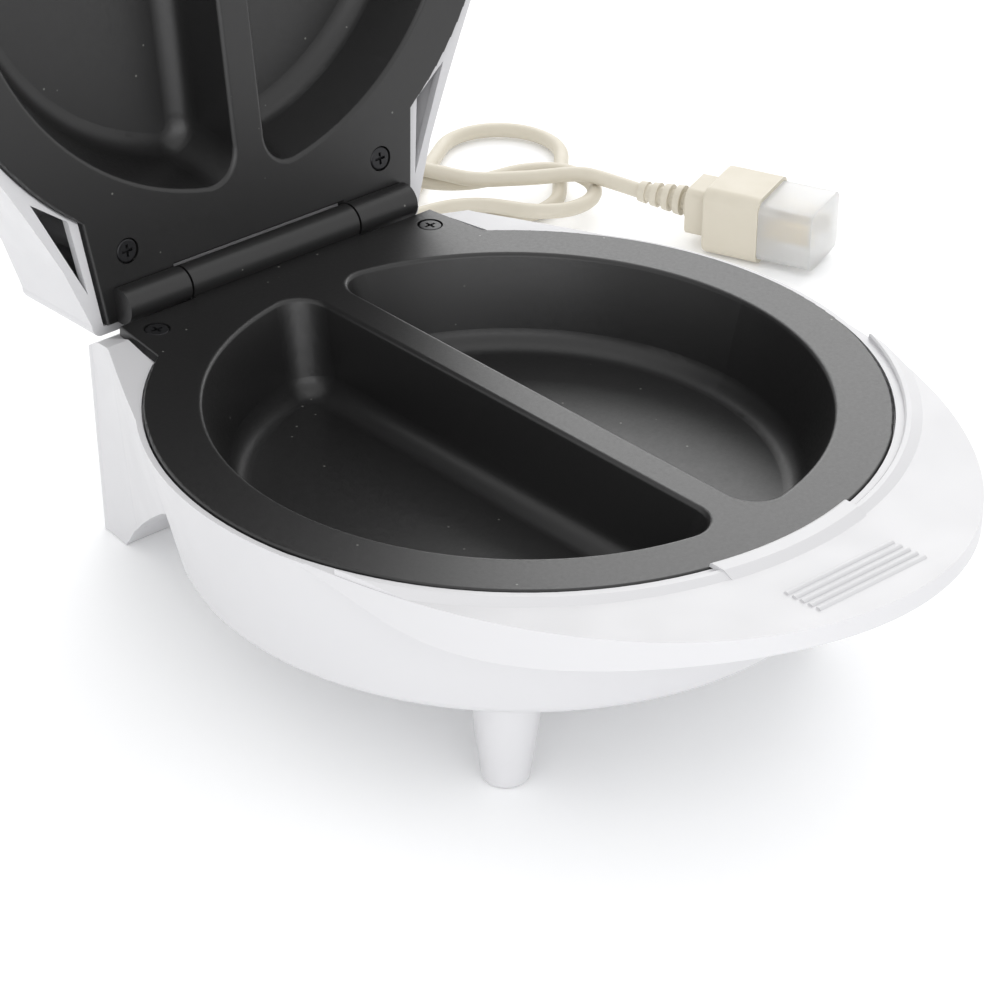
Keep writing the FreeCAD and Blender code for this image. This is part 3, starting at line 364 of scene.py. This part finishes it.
def hank_route():
    """The lead from where it reaches the floor, round the loop and the hank, to the plug."""
    lay_in = [(-89.3, -51.8, 14.0, 0), (-86.4, -25.7, 5.8, 36), (-72.6, -6.8, 3.2, 24),
              (-58, -1.5, 2.9, 30)]
    loop = [(-13, 3.2, LOW, 21.5), (13.1, 64.7, LOW, LOOP_R), (48.7, 54.2, LOW, LOOP_R),
            (37.6, -WAIST, LOW, 21.2)]
    far_side = [(-15, FOLD_R, HIGH, SIDE_R), (2, WAIST, HIGH, SIDE_R), (13, WAIST, HIGH, SIDE_R),
                (28.6, FOLD_R, HIGH, SIDE_R)]
    right_fold = [(SHORT_FOLD_AT, FOLD_R, HIGH, FOLD_R), (SHORT_FOLD_AT, -FOLD_R, HIGH, FOLD_R),
                  (28.6, -FOLD_R, HIGH, SIDE_R)]
    tail = [(-15, FOLD_R, TOP, 22), (11, 0.5, TOP - 0.8, 22), (30, 0.4, TOP - 0.8, 0),
            (47.3, 0.2, TOP + 0.2, 27), (64.4, -11.4, PLUG_START[2], 0)]
    return (lay_in + loop + near_side(LOW)[1:] + left_fold(7.9, HIGH) + far_side + right_fold
            + near_side(HIGH) + left_fold(13.2, TOP) + tail)


def cord_route():
    """Control points of the whole lead, in metres, from the gland to the plug."""
    lead = [GLAND_AT, (30.0, 159.5, 38.5), (35.0, 184.5, 28.5)]
    route = lead + [beside_hank(*p) for p in rounded(hank_route())] + [PLUG_START]
    return [Vector((x * MM, y * MM + PLATE_Y, z * MM)) for x, y, z in route]


def make_cord(material):
    """The mains lead as one curve, with the band round its hank."""
    points = cord_route()
    curve = bpy.data.curves.new("power_cord", "CURVE")
    curve.dimensions = "3D"
    spline = curve.splines.new("NURBS")
    spline.points.add(len(points) - 1)
    for p, q in zip(spline.points, points):
        p.co = (*q, 1)
    spline.order_u = 3
    spline.use_endpoint_u = True
    curve.resolution_u = 8
    curve.bevel_depth = CORD_D / 2
    curve.bevel_resolution = 6
    curve.use_fill_caps = True
    curve.materials.append(material)
    cord = bpy.data.objects.new("power_cord", curve)
    bpy.context.scene.collection.objects.link(cord)
    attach(cord, "base")
    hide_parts("power_cord_lead", "power_cord_loop", "power_cord_tail", "power_cord_hank")
    band = make_band()


def outer_ring(centres, radius):
    """Corners round a set of equal circles, as (centre, direction), counter-clockwise."""
    tries = [(c, math.radians(a)) for c in centres for a in range(0, 360, 15)]
    place = {t: (t[0][0] + radius * math.cos(t[1]), t[0][1] + radius * math.sin(t[1])) for t in tries}
    order = sorted(tries, key=lambda t: place[t])

    def half_ring(items):
        ring = []
        for t in items:
            while len(ring) > 1:
                (x0, y0), (x1, y1), (x2, y2) = place[ring[-2]], place[ring[-1]], place[t]
                if (x1 - x0) * (y2 - y0) - (y1 - y0) * (x2 - x0) > 1e-9:
                    break
                ring.pop()
            ring.append(t)
        return ring[:-1]

    return half_ring(order) + half_ring(order[::-1])


def make_band():
    """The band that holds the strands together, drawn round them."""
    along, width, inner, outer = -22.0, 8.0, 2.53, 2.78
    strands = [(-FOLD_R, LOW), (-FOLD_R, HIGH), (FOLD_R, HIGH), (FOLD_R, TOP), (0, LOW)]
    ring = outer_ring(strands, outer)
    bm = bmesh.new()
    rows = []
    for radius, end in ((outer, -1), (outer, 1), (inner, 1), (inner, -1)):
        rows.append([bm.verts.new([v * MM for v in beside_hank(
            along + end * width / 2, c[0] + radius * math.cos(t), c[1] + radius * math.sin(t))])
            for c, t in ring])
    for i in range(4):
        for j in range(len(ring)):
            k = (j + 1) % len(ring)
            bm.faces.new((rows[i][j], rows[i][k], rows[(i + 1) % 4][k], rows[(i + 1) % 4][j]))
    bmesh.ops.recalc_face_normals(bm, faces=bm.faces)
    mesh = bpy.data.meshes.new("cord_band")
    bm.to_mesh(mesh)
    bm.free()
    mesh.materials.append(plain("band_plastic", (0.62, 0.60, 0.56), 0.4))
    band = bpy.data.objects.new("cord_band", mesh)
    band.location.y = PLATE_Y
    bpy.context.scene.collection.objects.link(band)
    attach(band, "base")
    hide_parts("cord_tie")
    return band


bpy.context.scene.view_settings.view_transform = "Standard"
make_camera()
make_studio()
make_cord(paint_nodes())
